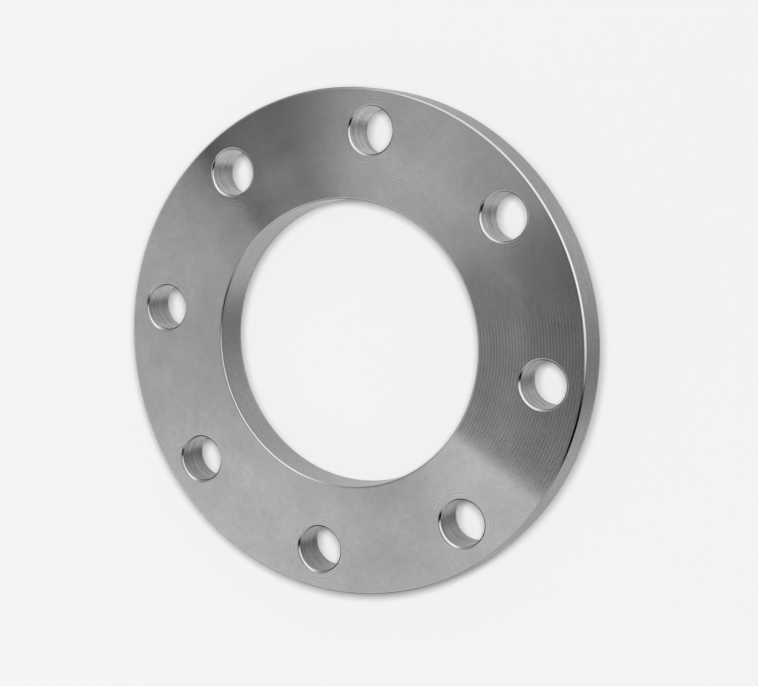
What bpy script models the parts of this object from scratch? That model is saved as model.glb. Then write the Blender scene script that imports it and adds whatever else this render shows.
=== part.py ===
"""Flat plate pipe flange: one steel ring with a plain bore and a circle of bolt holes.

Units are metres. The flange lies on its back face at z = 0 with its axis on +Z, so its front face is
at z = THICKNESS. Its bolt holes straddle the X and Y centrelines, as they do on a fitted flange.
"""

import math

import bmesh
import bpy

# Driving dimensions
OUTER_DIAMETER = 0.250
THICKNESS = 0.020
BORE_DIAMETER = 0.142
BOLT_CIRCLE_DIAMETER = 0.210
BOLT_HOLE_DIAMETER = 0.023
BOLT_HOLES = 8

# 45 degree chamfers, the same on the front and the back
RIM_CHAMFER = 0.0008
BORE_CHAMFER = 0.0005
HOLE_CHAMFER = 0.0008

# Facets round each circle, and how far a drilling cutter runs past each face
RING_SEGMENTS = 144
HOLE_SEGMENTS = 40
CUTTER_REACH = 0.004

# Edges that turn more than this stay sharp when the rest is shaded smooth
SHARP_ANGLE = math.radians(25)

STEEL_COLOUR = (0.45, 0.46, 0.45, 1)
STEEL_ROUGHNESS = 0.35


def clear_scene():
    for obj in list(bpy.data.objects):
        bpy.data.objects.remove(obj, do_unlink=True)


def machined_steel():
    material = bpy.data.materials.new("machined_steel")
    material.use_nodes = True
    shader = material.node_tree.nodes["Principled BSDF"]
    shader.inputs["Base Color"].default_value = STEEL_COLOUR
    shader.inputs["Metallic"].default_value = 1.0
    shader.inputs["Roughness"].default_value = STEEL_ROUGHNESS
    return material


def ring_outline():
    """The ring's cross-section as (radius, height) points, all the way round it."""
    rim = OUTER_DIAMETER / 2
    bore = BORE_DIAMETER / 2
    return [
        (rim, RIM_CHAMFER),
        (rim, THICKNESS - RIM_CHAMFER),
        (rim - RIM_CHAMFER, THICKNESS),
        (bore + BORE_CHAMFER, THICKNESS),
        (bore, THICKNESS - BORE_CHAMFER),
        (bore, BORE_CHAMFER),
        (bore + BORE_CHAMFER, 0),
        (rim - RIM_CHAMFER, 0),
    ]


def drill_outline():
    """A drill that countersinks both mouths: each cone carries on past its face."""
    hole = BOLT_HOLE_DIAMETER / 2
    flare = hole + HOLE_CHAMFER + CUTTER_REACH
    return [
        (flare, -CUTTER_REACH),
        (hole, HOLE_CHAMFER),
        (hole, THICKNESS - HOLE_CHAMFER),
        (flare, THICKNESS + CUTTER_REACH),
    ]


def turned(name, outline, segments, closed):
    """An object made by turning an outline about Z. An open outline gets a flat cap at each end."""
    shape = bmesh.new()
    corners = [shape.verts.new((radius, 0, height)) for radius, height in outline]
    ends = corners[1:] + corners[:1] if closed else corners[1:]
    edges = [shape.edges.new(pair) for pair in zip(corners, ends)]
    bmesh.ops.spin(
        shape,
        geom=corners + edges,
        cent=(0, 0, 0),
        axis=(0, 0, 1),
        angle=math.tau,
        steps=segments,
        use_merge=True,
    )
    rims = [edge for edge in shape.edges if edge.is_boundary]
    bmesh.ops.holes_fill(shape, edges=rims)
    bmesh.ops.recalc_face_normals(shape, faces=shape.faces)
    mesh = bpy.data.meshes.new(name)
    shape.to_mesh(mesh)
    shape.free()
    obj = bpy.data.objects.new(name, mesh)
    bpy.context.scene.collection.objects.link(obj)
    return obj


def bolt_hole_cutter(index):
    """One drill, in its place on the bolt circle, half a pitch off the centreline."""
    cutter = turned(f"bolt_hole_cutter_{index + 1}", drill_outline(), HOLE_SEGMENTS, closed=False)
    angle = math.tau * (index + 0.5) / BOLT_HOLES
    radius = BOLT_CIRCLE_DIAMETER / 2
    cutter.location = (radius * math.cos(angle), radius * math.sin(angle), 0)
    cutter.rotation_euler.z = angle
    cutter.hide_render = True
    cutter.display_type = "WIRE"
    return cutter


def drill(obj, cutters):
    """Cuts every drill out of obj, keeps the result as its mesh and removes the drills."""
    for cutter in cutters:
        cut = obj.modifiers.new(cutter.name, "BOOLEAN")
        cut.operation = "DIFFERENCE"
        cut.solver = "EXACT"
        cut.object = cutter
    graph = bpy.context.evaluated_depsgraph_get()
    drilled = bpy.data.meshes.new_from_object(obj.evaluated_get(graph))
    obj.modifiers.clear()
    obj.data = drilled
    drilled.name = obj.name
    for cutter in cutters:
        bpy.data.objects.remove(cutter, do_unlink=True)


def flange_ring():
    ring = turned("flange_ring", ring_outline(), RING_SEGMENTS, closed=True)
    drill(ring, [bolt_hole_cutter(index) for index in range(BOLT_HOLES)])
    ring.data.shade_smooth()
    ring.data.set_sharp_from_angle(angle=SHARP_ANGLE)
    ring.data.materials.append(machined_steel())
    return ring


def main():
    clear_scene()
    flange_ring()


main()
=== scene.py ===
import math
import random

import bmesh
import bpy
from mathutils import Matrix, Vector


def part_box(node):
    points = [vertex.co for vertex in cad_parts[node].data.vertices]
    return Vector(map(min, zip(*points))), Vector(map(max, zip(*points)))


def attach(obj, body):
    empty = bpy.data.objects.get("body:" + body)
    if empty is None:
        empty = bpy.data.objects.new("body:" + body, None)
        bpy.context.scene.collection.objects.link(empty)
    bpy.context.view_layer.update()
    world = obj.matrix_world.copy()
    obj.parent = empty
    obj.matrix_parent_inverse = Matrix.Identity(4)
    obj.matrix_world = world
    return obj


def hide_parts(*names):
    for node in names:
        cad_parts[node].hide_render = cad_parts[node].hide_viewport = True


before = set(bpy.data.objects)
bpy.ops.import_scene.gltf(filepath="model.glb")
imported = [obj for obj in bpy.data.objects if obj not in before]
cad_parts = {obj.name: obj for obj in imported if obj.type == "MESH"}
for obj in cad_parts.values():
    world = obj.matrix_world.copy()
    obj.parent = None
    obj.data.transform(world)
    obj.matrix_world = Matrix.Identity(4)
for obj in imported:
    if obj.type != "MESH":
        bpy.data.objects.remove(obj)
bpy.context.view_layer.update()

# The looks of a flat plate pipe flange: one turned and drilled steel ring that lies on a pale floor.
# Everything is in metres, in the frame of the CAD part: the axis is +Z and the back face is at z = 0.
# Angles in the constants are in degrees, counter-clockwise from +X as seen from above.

# ---------------------------------------------------------------- sizes
NODE = "flange_ring"
LOW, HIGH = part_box(NODE)
RIM_RADIUS = (HIGH.x - LOW.x) / 2
THICKNESS = HIGH.z - LOW.z
BORE_RADIUS = 0.071
BOLT_CIRCLE_RADIUS = 0.105
HOLE_RADIUS = 0.0115
HOLES = 8
RIM_CHAMFER = 0.0007
BORE_CHAMFER = 0.0006
HOLE_CHAMFER = 0.0009
EDGE_ROUNDING = 0.00010
RIM_ROLL = 0.0008

# Each bolt hole's drill marks are waves down its wall: how many, how deep the deepest is, how many of
# its waves fit in a metre, how deep the others are beside it, and how far a wave leans round the hole.
DRILL_WAVES = 7
DRILL_WAVE_DEPTH = 0.000012
DRILL_WAVES_PER_METRE = (450, 1500)
DRILL_WAVE_SHARES = (0.3, 1.0)
DRILL_WAVE_LEANS = (0.5, 1.5)

# ---------------------------------------------------------------- mesh density
ARC_STEPS = 48
BORE_STEPS = 24
SIDE_STEPS = 20
HOLE_STEPS = ARC_STEPS + BORE_STEPS + 2 * SIDE_STEPS
FACE_RINGS = 4
FACE_RING_SPREAD = 1.3
WALL_LEVELS = 6
DRILLED_LEVELS = 40
ROLL_STEPS = 5
SUPPORT_WIDTH = 0.00015
WELD_DISTANCE = 1e-6
SHARP_ANGLE = math.radians(16)

# ---------------------------------------------------------------- steel
STEEL = (0.55, 0.56, 0.545, 1)
DRILLED_STEEL = (0.565, 0.575, 0.56, 1)
BRIGHT_STEEL = (0.84, 0.85, 0.83, 1)
FACE_ROUGHNESS = 0.10
FACE_ANISOTROPY = 1.0
WALL_ANISOTROPY = 0.9
EDGE_ROUGHNESS = 0.12

# Noise keeps near 0.5. What lies between these two values is spread over the shades asked for.
NOISE_RANGE = (0.3, 0.7)
# Soft clouds and fine grime on the face, and specks on the walls: noise scale, darkest and palest shade.
CLOUDS = (60.0, 0.945, 1.055)
GRIME = (420.0, 0.96, 1.04)
SPECKS = (1300.0, 0.84, 1.16)

# The face's fine grooves. They spread its reflections outward from the axis, and are steepest on a
# worn ring between the bore and the bolt holes, where the steel is also a little paler.
FINE_PITCH = 0.00012
FINE_SLOPE = 0.078
FINE_WOBBLE = 4.0
FINE_WOBBLE_SCALE = 250.0
FINE_BUMP_FILTER = 0.02
WORN_RADIUS = 0.091
WORN_WIDTH = 0.013
WORN_SLOPE_GAIN = 1.12
WORN_SHADE = 1.06

# The face's coarse turning lines. They are real marks that are faint all over. On two sectors they are
# painted deeper, as painted reflection that stands in for how the lights bring them out there. A sector is
# its middle, the half width where the lines are at full depth, the half width where they end, and that
# depth.
LINE_PITCH = 0.00157
LINE_DRIFT = 3.5
LINE_DRIFT_SCALE = 25.0
FAINT_DEPTH = 0.008
PAINTED_REFLECTION_LINE_SECTORS = [(-115.0, 13.0, 27.0, 0.10), (-39.0, 3.0, 15.0, 0.032)]

# Broken rings that a bolt head or a cutter has rubbed round each hole's mouth.
SCUFF_PITCH = 0.0017
SCUFF_DEPTH = 0.08
SCUFF_START = 0.0145
SCUFF_END = 0.0185
SCUFF_PATCHES = (0.46, 0.62)
SCUFF_PATCH_SCALE = 90.0

# Painted light and shade: the walls of the bolt holes are painted paler on the side of the flange at the
# azimuth below, and darker on the far side.
PAINTED_LIGHT_SIDE = -28.0
PAINTED_LIGHT_SIDE_GAIN = 0.26

FACE, RIM, BORE, HOLE, CHAMFER = range(5)


# ================================================================ the ring's mesh
class Shell:
    """Points and faces of one mesh, with a material number for each face."""

    def __init__(self):
        self.points = []
        self.faces = []
        self.finishes = []

    def loop(self, points):
        """Adds a closed loop of points and returns their numbers."""
        first = len(self.points)
        self.points.extend(points)
        return list(range(first, len(self.points)))

    def band(self, inner, outer, finish):
        """Joins two loops of equal length with quads."""
        count = len(inner)
        for i in range(count):
            j = (i + 1) % count
            self.faces.append((inner[i], outer[i], outer[j], inner[j]))
            self.finishes.append(finish)


def polar(radius, angle, z, centre=(0.0, 0.0)):
    return (centre[0] + radius * math.cos(angle), centre[1] + radius * math.sin(angle), z)


def rounded(start, corner, end):
    """The middle of the curve that rounds a corner."""
    return tuple(0.25 * a + 0.5 * b + 0.25 * c for a, b, c in zip(start, corner, end))


def edge_profile(radius, chamfer, side, levels, roll=0.0):
    """(radius, height) points down a wall, in three lists: front edge, wall and back edge.

    side is 1 where the wall faces outward, as on the rim, and -1 where it faces the axis of a hole.
    The corners of the 45 degree chamfers are rounded a little. roll is the radius of a wider, worn
    curve between the chamfer and the wall.
    """
    ease = roll * (1 - math.sqrt(0.5))
    reach = chamfer + ease
    support = (radius - side * (reach + EDGE_ROUNDING + SUPPORT_WIDTH), THICKNESS)
    flat = (radius - side * (reach + EDGE_ROUNDING), THICKNESS)
    face_corner = (radius - side * reach, THICKNESS)
    slope = EDGE_ROUNDING * math.sqrt(0.5)
    upper = (face_corner[0] + side * slope, THICKNESS - slope)
    front = [support, flat, rounded(flat, face_corner, upper), upper]
    if roll:
        foot = THICKNESS - chamfer - roll * math.sqrt(0.5)
        for step in range(ROLL_STEPS + 1):
            turn = math.pi / 4 * (1 + step / ROLL_STEPS)
            front.append((radius - side * roll * (1 - math.sin(turn)), foot + roll * math.cos(turn)))
    else:
        wall_corner = (radius, THICKNESS - chamfer)
        lower = (radius - side * slope, wall_corner[1] + slope)
        wall_top = (radius, wall_corner[1] - EDGE_ROUNDING)
        front += [lower, rounded(lower, wall_corner, wall_top), wall_top]
    back = [(r, THICKNESS - z) for r, z in reversed(front)]
    top, bottom = front[-1][1], back[0][1]
    wall = [(radius, top + (bottom - top) * (level / levels)) for level in range(1, levels)]
    return front, wall, back


def turned_profile(shell, profile, steps, finish, side, start=0.0, centre=(0.0, 0.0), shift=None):
    """Turns a wall's profile round its axis and returns its first and its last loop.

    shift gives how far the wall's own points lie outside their radius, from their angle and height.
    """
    front, wall, back = profile
    loops = []
    for part, points in enumerate(profile):
        for radius, z in points:
            loop = []
            for i in range(steps):
                angle = start + math.tau * i / steps
                moved = radius + shift(angle, z) if shift and part == 1 else radius
                loop.append(polar(moved, angle, z, centre))
            loops.append(shell.loop(loop))
    last = len(loops) - 2
    for number, (upper, lower) in enumerate(zip(loops, loops[1:])):
        if number in (0, last):
            made = FACE
        elif number < len(front) - 1 or number > last - len(back) + 1:
            made = CHAMFER
        else:
            made = finish
        pair = (lower, upper) if side > 0 else (upper, lower)
        shell.band(*pair, made)
    return loops[0], loops[-1]


def sector_boundary(number, z, outer, inner):
    """The outline of one bolt hole's share of a face, counter-clockwise from its outer right corner."""
    pitch = math.tau / HOLES
    start = pitch * number
    points = [polar(outer, start + pitch * i / ARC_STEPS, z) for i in range(ARC_STEPS)]
    for i in range(SIDE_STEPS):
        points.append(polar(outer + (inner - outer) * i / SIDE_STEPS, start + pitch, z))
    points += [polar(inner, start + pitch * (1 - i / BORE_STEPS), z) for i in range(BORE_STEPS)]
    for i in range(SIDE_STEPS):
        points.append(polar(inner + (outer - inner) * i / SIDE_STEPS, start, z))
    return points


def face_sector(shell, number, hole_loop, outer, inner, up):
    """Fills a face between one bolt hole's mouth and the outline of its sector."""
    z = shell.points[hole_loop[0]][2]
    edge = sector_boundary(number, z, outer, inner)
    mouth = [shell.points[i] for i in hole_loop]
    loops = [hole_loop]
    for ring in range(1, FACE_RINGS + 1):
        share = (ring / FACE_RINGS) ** FACE_RING_SPREAD
        loops.append(shell.loop([Vector(a).lerp(Vector(b), share) for a, b in zip(mouth, edge)]))
    for near, far in zip(loops, loops[1:]):
        pair = (near, far) if up else (far, near)
        shell.band(*pair, FACE)


def drill_marks(seed):
    """Shallow rings and a slow spiral left by a drill, as a change of the hole's radius."""
    rng = random.Random(seed)
    waves = []
    for _ in range(DRILL_WAVES):
        per_metre = rng.uniform(*DRILL_WAVES_PER_METRE)
        phase = rng.uniform(0, math.tau)
        waves.append((per_metre, phase, rng.uniform(*DRILL_WAVE_SHARES)))
    lean = rng.uniform(*DRILL_WAVE_LEANS)

    def shift(angle, z):
        marks = 0.0
        for per_metre, phase, share in waves:
            spiral = lean * math.sin(angle + phase)
            marks += share * math.sin(math.tau * per_metre * z + phase + spiral)
        return DRILL_WAVE_DEPTH * marks

    return shift


def ring_mesh():
    """The whole ring: its rim, its bore, and its bolt holes with the share of each face round them."""
    shell = Shell()
    rim = edge_profile(RIM_RADIUS, RIM_CHAMFER, 1, WALL_LEVELS, RIM_ROLL)
    bore = edge_profile(BORE_RADIUS, BORE_CHAMFER, -1, WALL_LEVELS)
    hole = edge_profile(HOLE_RADIUS, HOLE_CHAMFER, -1, DRILLED_LEVELS)
    turned_profile(shell, rim, HOLES * ARC_STEPS, RIM, 1)
    turned_profile(shell, bore, HOLES * BORE_STEPS, BORE, -1)
    outer, inner = rim[0][0][0], bore[0][0][0]
    for number in range(HOLES):
        angle = math.tau * (number + 0.5) / HOLES
        centre = (BOLT_CIRCLE_RADIUS * math.cos(angle), BOLT_CIRCLE_RADIUS * math.sin(angle))
        start = angle - math.pi * ARC_STEPS / HOLE_STEPS
        marks = drill_marks(number)
        front, back = turned_profile(shell, hole, HOLE_STEPS, HOLE, -1, start, centre, marks)
        face_sector(shell, number, front, outer, inner, up=True)
        face_sector(shell, number, back, outer, inner, up=False)
    return shell


def ring_object(materials):
    shell = ring_mesh()
    mesh = bpy.data.meshes.new("turned_flange")
    mesh.from_pydata([tuple(p) for p in shell.points], [], shell.faces)
    for material in materials:
        mesh.materials.append(material)
    mesh.polygons.foreach_set("material_index", shell.finishes)
    weld = bmesh.new()
    weld.from_mesh(mesh)
    bmesh.ops.remove_doubles(weld, verts=weld.verts, dist=WELD_DISTANCE)
    bmesh.ops.recalc_face_normals(weld, faces=weld.faces)
    weld.to_mesh(mesh)
    weld.free()
    mesh.shade_smooth()
    mesh.set_sharp_from_angle(angle=SHARP_ANGLE)
    obj = bpy.data.objects.new("turned_flange", mesh)
    bpy.context.scene.collection.objects.link(obj)
    return obj


def direction(azimuth, elevation):
    """The unit vector that points to an azimuth and elevation in degrees."""
    a, e = math.radians(azimuth), math.radians(elevation)
    return Vector((math.cos(a) * math.cos(e), math.sin(a) * math.cos(e), math.sin(e)))


# ================================================================ nodes
def feed(tree, socket, value):
    """Sets a socket to a number, vector or colour, or links another node's output to it."""
    if isinstance(value, bpy.types.NodeSocket):
        tree.links.new(value, socket)
    else:
        socket.default_value = value


def add(tree, kind, values=None, **settings):
    """A new node with its settings, and its inputs fed from values."""
    node = tree.nodes.new(kind)
    for name, setting in settings.items():
        setattr(node, name, setting)
    for key, value in (values or {}).items():
        feed(tree, node.inputs[key], value)
    return node


def maths(tree, operation, *values):
    return add(tree, "ShaderNodeMath", dict(enumerate(values)), operation=operation).outputs[0]


def vector_maths(tree, operation, values):
    return add(tree, "ShaderNodeVectorMath", values, operation=operation)


def vector(tree, x, y, z):
    return add(tree, "ShaderNodeCombineXYZ", {0: x, 1: y, 2: z}).outputs[0]


def product(tree, first, *others):
    for other in others:
        first = maths(tree, "MULTIPLY", first, other)
    return first


def length(tree, x, y):
    """The distance from the origin to (x, y)."""
    square = maths(tree, "ADD", maths(tree, "MULTIPLY", x, x), maths(tree, "MULTIPLY", y, y))
    return maths(tree, "SQRT", square)


def distance(tree, value, target):
    """How far a number is from a target, as a positive number."""
    return maths(tree, "ABSOLUTE", maths(tree, "SUBTRACT", value, target))


def mix(tree, factor, low, high):
    return add(tree, "ShaderNodeMix", {"Factor": factor, "A": low, "B": high}).outputs["Result"]


def wave(tree, place, pitch, phase=0.0):
    """A sine from -1 to 1 along place, whose length is pitch."""
    return maths(tree, "SINE", maths(tree, "MULTIPLY_ADD", place, math.tau / pitch, phase))


def smooth_step(tree, value, start, end, low=0.0, high=1.0):
    """A number that eases from low to high as value goes from start to end."""
    values = {"Value": value, "From Min": start, "From Max": end, "To Min": low, "To Max": high}
    node = add(tree, "ShaderNodeMapRange", values, interpolation_type="SMOOTHSTEP")
    return node.outputs["Result"]


def level_ramp(tree, angle, levels, strength):
    """A number that follows (degrees, level) stops round a full turn of angle, which is in radians."""
    share = maths(tree, "ADD", maths(tree, "DIVIDE", angle, math.tau), 0.5)
    ramp = add(tree, "ShaderNodeValToRGB", {"Fac": share})
    stops = ramp.color_ramp.elements
    stops.remove(stops[0])
    stops[0].position = 1.0
    for degrees, level in levels:
        stop = stops[-1] if degrees == 180 else stops.new(degrees / 360 + 0.5)
        stop.color = (level, level, level, 1)
    return maths(tree, "MULTIPLY", ramp.outputs["Color"], strength)


def coordinates(tree):
    """The point's place in the object's own frame: its vector, and its x, y and z."""
    where = add(tree, "ShaderNodeTexCoord").outputs["Object"]
    x, y, z = add(tree, "ShaderNodeSeparateXYZ", {0: where}).outputs
    return where, x, y, z


def noise(tree, where, scale, detail, roughness=0.5):
    """Smooth noise from 0 to 1 whose features are about 1 / scale metres in each direction."""
    if not isinstance(scale, tuple):
        scale = (scale, scale, scale)
    stretched = vector_maths(tree, "MULTIPLY", {0: where, 1: scale}).outputs[0]
    values = {"Vector": stretched, "Scale": 1.0, "Detail": detail, "Roughness": roughness}
    return add(tree, "ShaderNodeTexNoise", values).outputs["Fac"]


def spread(tree, fac, low, high):
    """Turns noise into a number from low to high."""
    values = {"Value": fac, "To Min": low, "To Max": high}
    values["From Min"], values["From Max"] = NOISE_RANGE
    return add(tree, "ShaderNodeMapRange", values).outputs["Result"]


def mottle(tree, where, look, detail, roughness):
    """A shade near 1 that varies as look says, with the noise's scale and the darkest and palest shade."""
    scale, darkest, palest = look
    return spread(tree, noise(tree, where, scale, detail, roughness), darkest, palest)


# ================================================================ finishes of the steel
def steel(name, roughness, anisotropy, colour=STEEL):
    material = bpy.data.materials.new(name)
    material.use_nodes = True
    tree = material.node_tree
    shader = tree.nodes["Principled BSDF"]
    shader.inputs["Base Color"].default_value = colour
    shader.inputs["Metallic"].default_value = 1.0
    shader.inputs["Roughness"].default_value = roughness
    shader.inputs["Anisotropic"].default_value = anisotropy
    return material, tree, shader


def tint(tree, shader, colour, factor):
    """Gives the shader its base colour, made lighter or darker by a factor."""
    scaled = vector_maths(tree, "SCALE", {0: colour[:3], "Scale": factor}).outputs[0]
    feed(tree, shader.inputs["Base Color"], scaled)


def fine_grooves(tree, radius, off_worn_ring):
    """The height of the fine grooves, which follow the tool's unsteady feed."""
    values = {"W": radius, "Scale": FINE_WOBBLE_SCALE, "Detail": 2.0}
    wobble = add(tree, "ShaderNodeTexNoise", values, noise_dimensions="1D").outputs["Fac"]
    worn_slope = FINE_SLOPE * WORN_SLOPE_GAIN
    slope = smooth_step(tree, off_worn_ring, 0.0, WORN_WIDTH, worn_slope, FINE_SLOPE)
    depth = product(tree, slope, FINE_PITCH / math.tau)
    return product(tree, wave(tree, radius, FINE_PITCH, product(tree, wobble, FINE_WOBBLE)), depth)


def turning_lines_and_painted_reflection(tree, where, radius, azimuth):
    """The shade of the coarse turning marks, near 1: real and faint all over, and deeper on the sectors,
    where the extra depth is painted reflection.
    """
    depth = FAINT_DEPTH
    # Painted reflection: on these sectors the turning marks are painted deeper.
    for middle, full, end, deepest in PAINTED_REFLECTION_LINE_SECTORS:
        away = distance(tree, azimuth, math.radians(middle))
        here = smooth_step(tree, away, math.radians(full), math.radians(end), deepest, FAINT_DEPTH)
        depth = maths(tree, "MAXIMUM", depth, here)
    drift = product(tree, noise(tree, where, LINE_DRIFT_SCALE, 2.0), LINE_DRIFT)
    return maths(tree, "MULTIPLY_ADD", wave(tree, radius, LINE_PITCH, drift), depth, 1.0)


def from_nearest_hole(tree, radius, azimuth):
    """The distance to the axis of the nearest bolt hole, by the law of cosines."""
    sector = math.tau / HOLES
    folded = maths(tree, "SUBTRACT", maths(tree, "FLOORED_MODULO", azimuth, sector), sector / 2)
    squares = maths(tree, "MULTIPLY_ADD", radius, radius, BOLT_CIRCLE_RADIUS**2)
    along = product(tree, maths(tree, "COSINE", folded), radius, -2 * BOLT_CIRCLE_RADIUS)
    return maths(tree, "SQRT", maths(tree, "ADD", squares, along))


def hole_scuffs(tree, where, radius, azimuth):
    """The shade of the scuffed rings round the holes, near 1."""
    reach = from_nearest_hole(tree, radius, azimuth)
    fade_in = smooth_step(tree, reach, HOLE_RADIUS + HOLE_CHAMFER, SCUFF_START)
    fade_out = smooth_step(tree, reach, SCUFF_START, SCUFF_END, SCUFF_DEPTH, 0.0)
    patches = smooth_step(tree, noise(tree, where, SCUFF_PATCH_SCALE, 2.0), *SCUFF_PATCHES)
    depth = product(tree, fade_out, fade_in, patches)
    return maths(tree, "MULTIPLY_ADD", wave(tree, reach, SCUFF_PITCH), depth, 1.0)


def turned_face():
    """A face that was turned on a lathe: it spreads its reflections outward from the axis."""
    material, tree, shader = steel("turned_face", FACE_ROUGHNESS, FACE_ANISOTROPY)
    where, x, y, z = coordinates(tree)
    radius = length(tree, x, y)
    azimuth = maths(tree, "ARCTAN2", y, x)
    off_worn_ring = distance(tree, radius, WORN_RADIUS)

    outward = vector(tree, x, y, 0.0)
    feed(tree, shader.inputs["Tangent"], vector_maths(tree, "NORMALIZE", {0: outward}).outputs[0])
    height = fine_grooves(tree, radius, off_worn_ring)
    values = {"Height": height, "Distance": 1.0, "Strength": 1.0, "Filter Width": FINE_BUMP_FILTER}
    feed(tree, shader.inputs["Normal"], add(tree, "ShaderNodeBump", values).outputs["Normal"])

    clouds = mottle(tree, where, CLOUDS, 4.0, 0.6)
    grime = mottle(tree, where, GRIME, 3.0, 0.7)
    pale = smooth_step(tree, off_worn_ring, 0.0, WORN_WIDTH, WORN_SHADE, 1.0)
    # Turning lines, painted deeper on two sectors as painted reflection.
    lines_and_painted_reflection = turning_lines_and_painted_reflection(tree, where, radius, azimuth)
    scuffs = hole_scuffs(tree, where, radius, azimuth)
    tint(tree, shader, STEEL, product(tree, clouds, grime, pale, lines_and_painted_reflection, scuffs))
    return material


def turned_wall(name, roughness, colour, grain, low, high, painted_light_side=0.0):
    """A wall turned or drilled round the Z axis, with streaks that run round it and a fine grain.

    grain is the streaks' noise scale on X, Y and Z, and their shade goes from low to high. The last
    argument paints light and shade: it makes the walls paler on one side of the flange than on the other.
    """
    material, tree, shader = steel(name, roughness, WALL_ANISOTROPY)
    feed(tree, shader.inputs["Tangent"], vector(tree, 0.0, 0.0, 1.0))
    where, x, y, z = coordinates(tree)
    streaks = spread(tree, noise(tree, where, grain, 3.0, 0.6), low, high)
    specks = mottle(tree, where, SPECKS, 2.0, 0.6)
    shade = product(tree, streaks, specks)
    # Painted light and shade: paler walls on one side of the flange, darker walls on the other.
    if painted_light_side:
        towards = tuple(direction(PAINTED_LIGHT_SIDE, 0.0) * (painted_light_side / BOLT_CIRCLE_RADIUS))
        gain = vector_maths(tree, "DOT_PRODUCT", {0: where, 1: towards}).outputs["Value"]
        shade = product(tree, shade, maths(tree, "ADD", gain, 1.0))
    tint(tree, shader, colour, shade)
    return material


def cut_edge():
    """The smooth, bright cut of the chamfers."""
    return steel("cut_edge", EDGE_ROUGHNESS, 0.0, BRIGHT_STEEL)[0]


# ================================================================ camera
CAMERA_AIM = Vector((-0.0035, -0.0188, THICKNESS))
CAMERA_AZIMUTH = -91.54
CAMERA_ELEVATION = 62.97
CAMERA_DISTANCE = 0.8055
CAMERA_ROLL = 101.7
CAMERA_LENS = 78.73
TOWARDS_CAMERA = direction(CAMERA_AZIMUTH, CAMERA_ELEVATION)


def make_camera():
    data = bpy.data.cameras.new("camera")
    data.sensor_width = 36.0
    data.lens = CAMERA_LENS
    camera = bpy.data.objects.new("camera", data)
    turn = (-TOWARDS_CAMERA).to_track_quat("-Z", "Y").to_matrix()
    roll = Matrix.Rotation(-math.radians(CAMERA_ROLL), 3, "Z")
    place = CAMERA_AIM + TOWARDS_CAMERA * CAMERA_DISTANCE
    camera.matrix_world = Matrix.LocRotScale(place, turn @ roll, None)
    bpy.context.scene.collection.objects.link(camera)
    bpy.context.scene.camera = camera


# ================================================================ studio
# The steel shows mostly what it mirrors, so the studio is made of soft light panels and dark gaps. Their
# levels are listed as (degrees, level) stops round the studio. The camera sees only plain paper.
PAPER = 0.905

# The dome overhead lights the faces. Its sectors fan out from the direction that the middle of the
# flange mirrors to the camera, whose x and y are MIRROR_X and MIRROR_Y.
MIRROR_X, MIRROR_Y = 0.016, 0.472
DOME_STRENGTH = 1.1
DOME_LEVELS = [
    (-180, 0.66), (-160, 0.69), (-150, 0.73), (-146, 0.71), (-142, 0.88), (-140.6, 0.0), (-136.5, 0.0),
    (-128, 0.11), (-114, 0.06), (-100, 0.07), (-84, 0.03), (-73.2, 0.0), (-71.6, 0.42), (-67, 0.28),
    (-54, 0.39), (-44, 0.46), (-28, 0.50), (-19, 0.48), (-10, 0.29), (-1, 0.10), (12, 0.17), (22, 0.03),
    (25, 0.50), (32, 0.62), (50, 0.76), (62, 0.67), (76, 0.64), (92, 0.71), (112, 0.80), (136, 0.85),
    (160, 0.75), (180, 0.66),
]
# Away from there, beyond DOME_EDGE and above OUTER_FOOT, the dome is never darker than OUTER_LEVEL, so
# that the faces aren't black in other views.
DOME_EDGE = (0.36, 0.47)
OUTER_FOOT = (0.57, 0.63)
OUTER_LEVEL = 0.44

# The band round the studio, between BAND_FLOOR and BAND_TOP in height, lights the chamfers. Its panels
# lean away from BAND_MIDDLE, and below PANEL_FOOT they are no brighter than PANEL_FOOT_LEVEL.
BAND_STRENGTH = 1.13
BAND_LEVELS = [
    (-180, 0.36), (-165, 0.34), (-159, 0.31), (-153, 0.21), (-149.5, 0.10), (-146.5, 0.0), (-141, 0.0),
    (-128, 0.0), (-123, 0.13), (-118.5, 0.48), (-112, 0.70), (-105, 0.80), (-97, 0.95), (-88, 1.0),
    (-18, 1.0), (-10, 0.78), (-3, 0.5), (4, 0.36), (11, 0.25), (28, 0.2), (38, 0.3), (50, 0.4),
    (140, 0.25), (155, 0.35), (180, 0.36),
]
BAND_FLOOR = (-0.12, -0.02)
BAND_TOP = (0.50, 0.56)
BAND_MIDDLE = 0.29
BAND_SLANT = 35.0
PANEL_FOOT = (0.26, 0.42)
PANEL_FOOT_LEVEL = 0.80

# Below the floor's height, the walls mirror three rings: near and far from straight down, and a skirt
# under the band. How far they are is a direction's distance from the Z axis.
UNDER_NEAR = [
    (-180, 0.55), (-172, 0.54), (-160, 0.44), (-148, 0.34), (-137, 0.285), (-128, 0.30), (-115, 0.35),
    (-100, 0.45), (-82, 0.54), (-65, 0.61), (-45, 0.57), (-20, 0.52), (5, 0.52), (35, 0.56), (55, 0.70),
    (90, 0.62), (110, 0.44), (125, 0.38), (140, 0.38), (155, 0.44), (170, 0.52), (180, 0.53),
]
UNDER_FAR = [
    (-180, 0.70), (-172, 0.72), (-158, 0.65), (-150, 0.58), (-143, 0.45), (-134, 0.37), (-122, 0.30),
    (-112, 0.31), (-100, 0.35), (-85, 0.39), (-72, 0.45), (-55, 0.53), (-40, 0.56), (-15, 0.65),
    (5, 0.69), (50, 0.67), (80, 0.81), (100, 0.80), (120, 0.72), (150, 0.73), (170, 0.72), (180, 0.70),
]
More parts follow.
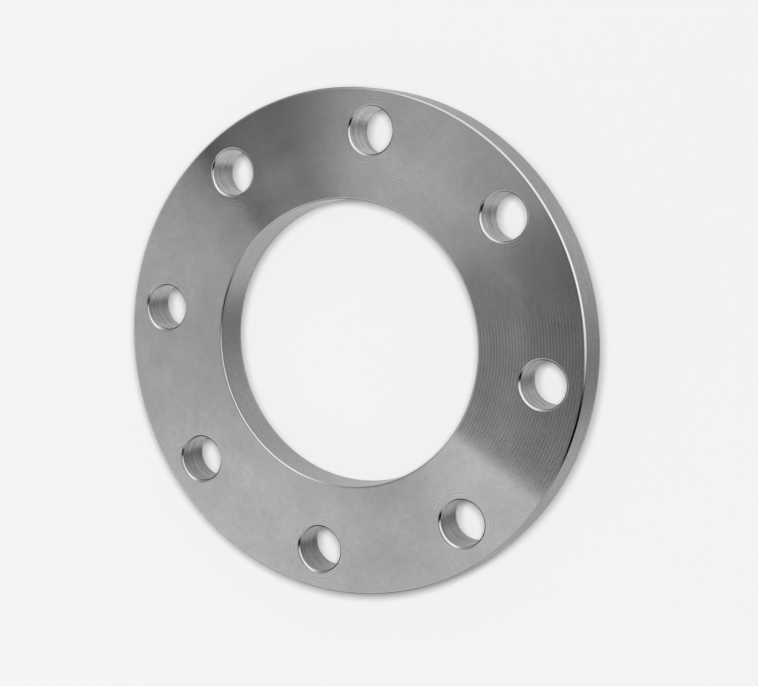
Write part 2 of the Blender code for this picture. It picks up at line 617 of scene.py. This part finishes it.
SKIRT_LEVELS = [
    (-180, 0.36), (-155, 0.25), (-146, 0.1), (-141, 0.0), (-122, 0.0), (-112, 0.25), (-95, 0.36),
    (-75, 0.30), (-60, 0.16), (-20, 0.14), (0, 0.22), (28, 0.32), (48, 0.52), (70, 0.46), (100, 0.54),
    (125, 0.5), (140, 0.42), (180, 0.36),
]
SKIRT_STRENGTH = 0.66
NEAR_TO_FAR = (0.44, 0.51)
FAR_TO_SKIRT = (0.70, 0.82)


def dome_light(tree, x, y, z):
    """The light from overhead in the direction (x, y, z)."""
    across = maths(tree, "SUBTRACT", x, MIRROR_X)
    along = maths(tree, "SUBTRACT", y, MIRROR_Y)
    dome = level_ramp(tree, maths(tree, "ARCTAN2", along, across), DOME_LEVELS, DOME_STRENGTH)
    outside = smooth_step(tree, length(tree, across, along), *DOME_EDGE, 0.0, OUTER_LEVEL)
    outside = product(tree, outside, smooth_step(tree, z, *OUTER_FOOT))
    return maths(tree, "MAXIMUM", dome, outside)


def band_light(tree, azimuth, z):
    """The light from round the studio, above the floor's height."""
    off_middle = distance(tree, z, BAND_MIDDLE)
    leaning = maths(tree, "MULTIPLY_ADD", off_middle, -math.radians(BAND_SLANT), azimuth)
    band = level_ramp(tree, leaning, BAND_LEVELS, BAND_STRENGTH)
    most = smooth_step(tree, z, *PANEL_FOOT, PANEL_FOOT_LEVEL, BAND_STRENGTH)
    return maths(tree, "MINIMUM", band, most)


def under_light(tree, azimuth, z):
    """The light that the walls mirror from below the floor's height."""
    near = level_ramp(tree, azimuth, UNDER_NEAR, 1.0)
    far = level_ramp(tree, azimuth, UNDER_FAR, 1.0)
    skirt = level_ramp(tree, azimuth, SKIRT_LEVELS, SKIRT_STRENGTH)
    reach = maths(tree, "SQRT", maths(tree, "SUBTRACT", 1.0, maths(tree, "MULTIPLY", z, z)))
    under = mix(tree, smooth_step(tree, reach, *NEAR_TO_FAR), near, far)
    return mix(tree, smooth_step(tree, reach, *FAR_TO_SKIRT), under, skirt)


def make_world():
    """Lights the studio. The camera itself sees only paper."""
    world = bpy.data.worlds.new("studio")
    bpy.context.scene.world = world
    world.use_nodes = True
    tree = world.node_tree
    mirrored = tree.nodes["Background"]
    ray = add(tree, "ShaderNodeTexCoord").outputs["Generated"]
    x, y, z = add(tree, "ShaderNodeSeparateXYZ", {0: ray}).outputs
    azimuth = maths(tree, "ARCTAN2", y, x)
    dome = dome_light(tree, x, y, z)
    above = mix(tree, smooth_step(tree, z, *BAND_TOP), band_light(tree, azimuth, z), dome)
    panels = mix(tree, smooth_step(tree, z, *BAND_FLOOR), under_light(tree, azimuth, z), above)
    feed(tree, mirrored.inputs["Color"], panels)
    paper = add(tree, "ShaderNodeBackground", {"Color": (PAPER, PAPER, PAPER, 1)})
    seen = add(tree, "ShaderNodeLightPath").outputs["Is Camera Ray"]
    both = add(tree, "ShaderNodeMixShader", {0: seen, 1: mirrored.outputs[0], 2: paper.outputs[0]})
    feed(tree, tree.nodes["World Output"].inputs["Surface"], both.outputs[0])


# A soft lamp beside the camera casts the flange's shadow. It isn't mirrored in the steel.
LAMP_SHIFT = Vector((0.054, 0.0, 0.0))
LAMP_RADIUS = 0.115
# The lamp gives this much of the floor's brightness under it, and the world gives WORLD_SHARE.
LAMP_SHARE = 0.68
WORLD_SHARE = 0.045

FLOOR_SIZE = 12.0
FLOOR_GAP = 0.0002
FLOOR_COLOUR = 0.10
LEAST_NEARNESS = 0.2
# The dark line where the flange meets the floor: how far it reaches, how dark it gets, how open a point
# is where it ends, and which way it looks for the flange.
CONTACT_REACH = 0.006
CONTACT_DEPTH = 0.70
CONTACT_OPEN = 0.78
CONTACT_LEAN = Vector((1.1, 1.1, 1.0))
CONTACT_SAMPLES = 10


def make_lamp():
    """Hangs the lamp and returns where it is."""
    where = CAMERA_AIM + TOWARDS_CAMERA * CAMERA_DISTANCE + LAMP_SHIFT
    data = bpy.data.lights.new("lamp", "POINT")
    data.shadow_soft_size = LAMP_RADIUS
    irradiance = LAMP_SHARE * math.pi / FLOOR_COLOUR
    data.energy = irradiance * 4 * math.pi * where.z**2
    lamp = bpy.data.objects.new("lamp", data)
    lamp.location = where
    lamp.visible_glossy = False
    lamp.visible_camera = False
    bpy.context.scene.collection.objects.link(lamp)
    return where


def floor_object():
    mesh = bpy.data.meshes.new("floor")
    low, high = -FLOOR_SIZE, FLOOR_SIZE
    mesh.from_pydata([(low, low, 0), (high, low, 0), (high, high, 0), (low, high, 0)], [], [(0, 1, 2, 3)])
    floor = bpy.data.objects.new("floor", mesh)
    floor.location.z = LOW.z - FLOOR_GAP
    bpy.context.scene.collection.objects.link(floor)
    return floor


def contact_shadow(tree):
    """A number that is 1 in the open and smaller beside the flange."""
    lean = add(tree, "ShaderNodeCombineXYZ", dict(enumerate(CONTACT_LEAN.normalized())))
    values = {"Distance": CONTACT_REACH, "Normal": lean.outputs[0]}
    openness = add(tree, "ShaderNodeAmbientOcclusion", values, samples=CONTACT_SAMPLES).outputs["AO"]
    return smooth_step(tree, openness, 0.0, CONTACT_OPEN, 1 - CONTACT_DEPTH, 1.0)


def make_floor(lamp):
    """A plain sheet of paper under the flange, which only the camera sees.

    The lamp lights it less with distance, so its colour grows paler, down to LEAST_NEARNESS, and its own
    faint glow fills up what is still missing, so that it looks even.
    """
    floor = floor_object()
    material = bpy.data.materials.new("paper")
    material.use_nodes = True
    tree = material.node_tree
    tree.nodes.remove(tree.nodes["Principled BSDF"])
    where, x, y, z = coordinates(tree)
    away = vector_maths(tree, "DISTANCE", {0: where, 1: tuple(lamp)}).outputs["Value"]
    nearness = maths(tree, "POWER", maths(tree, "DIVIDE", lamp.z, away), 3.0)
    kept = maths(tree, "MAXIMUM", nearness, LEAST_NEARNESS)
    colour = maths(tree, "DIVIDE", FLOOR_COLOUR, kept)
    lit = maths(tree, "MULTIPLY_ADD", nearness, LAMP_SHARE, WORLD_SHARE)
    glow = maths(tree, "SUBTRACT", PAPER, maths(tree, "DIVIDE", lit, kept))
    contact = contact_shadow(tree)
    white = vector(tree, contact, contact, contact)
    grey = vector_maths(tree, "SCALE", {0: white, "Scale": colour}).outputs[0]
    diffuse = add(tree, "ShaderNodeBsdfDiffuse", {"Color": grey})
    glowing = add(tree, "ShaderNodeEmission", {"Color": white, "Strength": glow})
    paper = add(tree, "ShaderNodeAddShader", {0: diffuse.outputs[0], 1: glowing.outputs[0]})
    clear = add(tree, "ShaderNodeBsdfTransparent")
    seen = add(tree, "ShaderNodeLightPath").outputs["Is Camera Ray"]
    both = add(tree, "ShaderNodeMixShader", {0: seen, 1: clear.outputs[0], 2: paper.outputs[0]})
    feed(tree, tree.nodes["Material Output"].inputs["Surface"], both.outputs[0])
    floor.data.materials.append(material)


# ================================================================ the scene
make_camera()
make_world()
make_floor(make_lamp())
bpy.context.scene.view_settings.view_transform = "Standard"

finishes = [
    turned_face(),
    turned_wall("turned_rim", 0.20, STEEL, (90.0, 90.0, 2000.0), 0.78, 1.22),
    turned_wall("bored_wall", 0.20, STEEL, (30.0, 30.0, 1500.0), 0.95, 1.05),
    turned_wall("drilled_wall", 0.22, DRILLED_STEEL, (60.0, 60.0, 500.0), 0.72, 1.28, PAINTED_LIGHT_SIDE_GAIN),
    cut_edge(),
]
flange = ring_object(finishes)
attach(flange, "root")
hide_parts(NODE)
